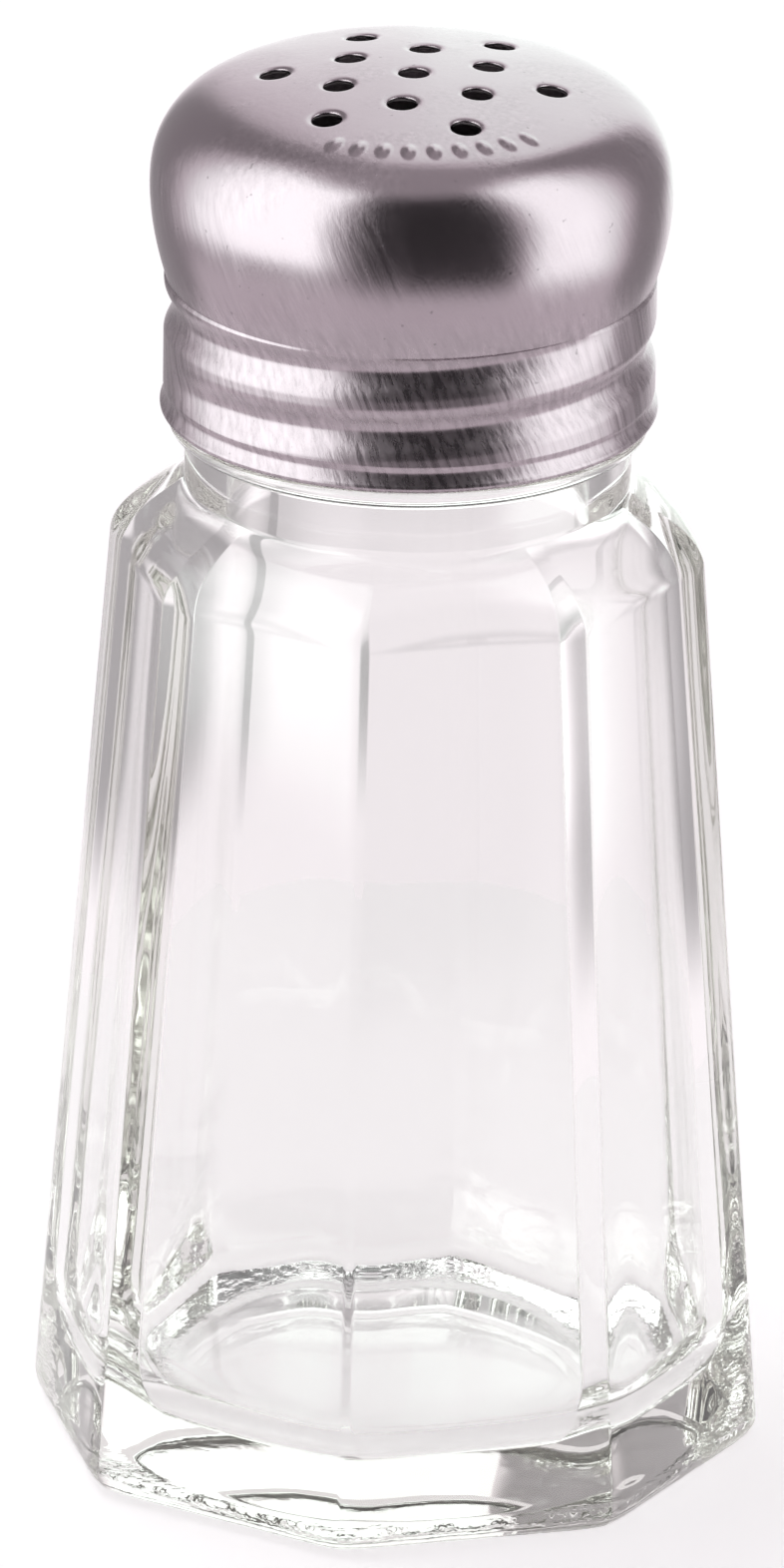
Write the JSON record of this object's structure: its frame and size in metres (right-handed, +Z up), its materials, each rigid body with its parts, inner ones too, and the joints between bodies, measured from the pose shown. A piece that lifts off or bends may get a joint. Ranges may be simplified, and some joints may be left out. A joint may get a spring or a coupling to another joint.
{
  "type": "table shaker",
  "caption": "Eight-panelled clear-glass table shaker with a domed, perforated one-piece steel cap that comes off its threaded neck.",
  "frame": {"origin": "centre of the flat ring that the jar stands on", "axes": "+Z up the jar's axis and out through the cap, -Y out of the middle of one panel, +X out of the middle of another"},
  "size_m": [0.0456, 0.0456, 0.095],
  "materials": {
    "clear_glass": "fire-polished clear soda-lime glass, very slightly grey where it is thick",
    "satin_steel": "satin stainless sheet with fine brush marks, finer on the dome than on the thread band"
  },
  "bodies": {
    "jar": {"glass_jar": "clear_glass"},
    "cap": {"steel_cap": "satin_steel"}
  },
  "joints": [
    {"name": "cap_lift", "type": "slide", "parent": "jar", "child": "cap", "axis": [0, 0, 1], "range_m": [0, 0.025]}
  ]
}
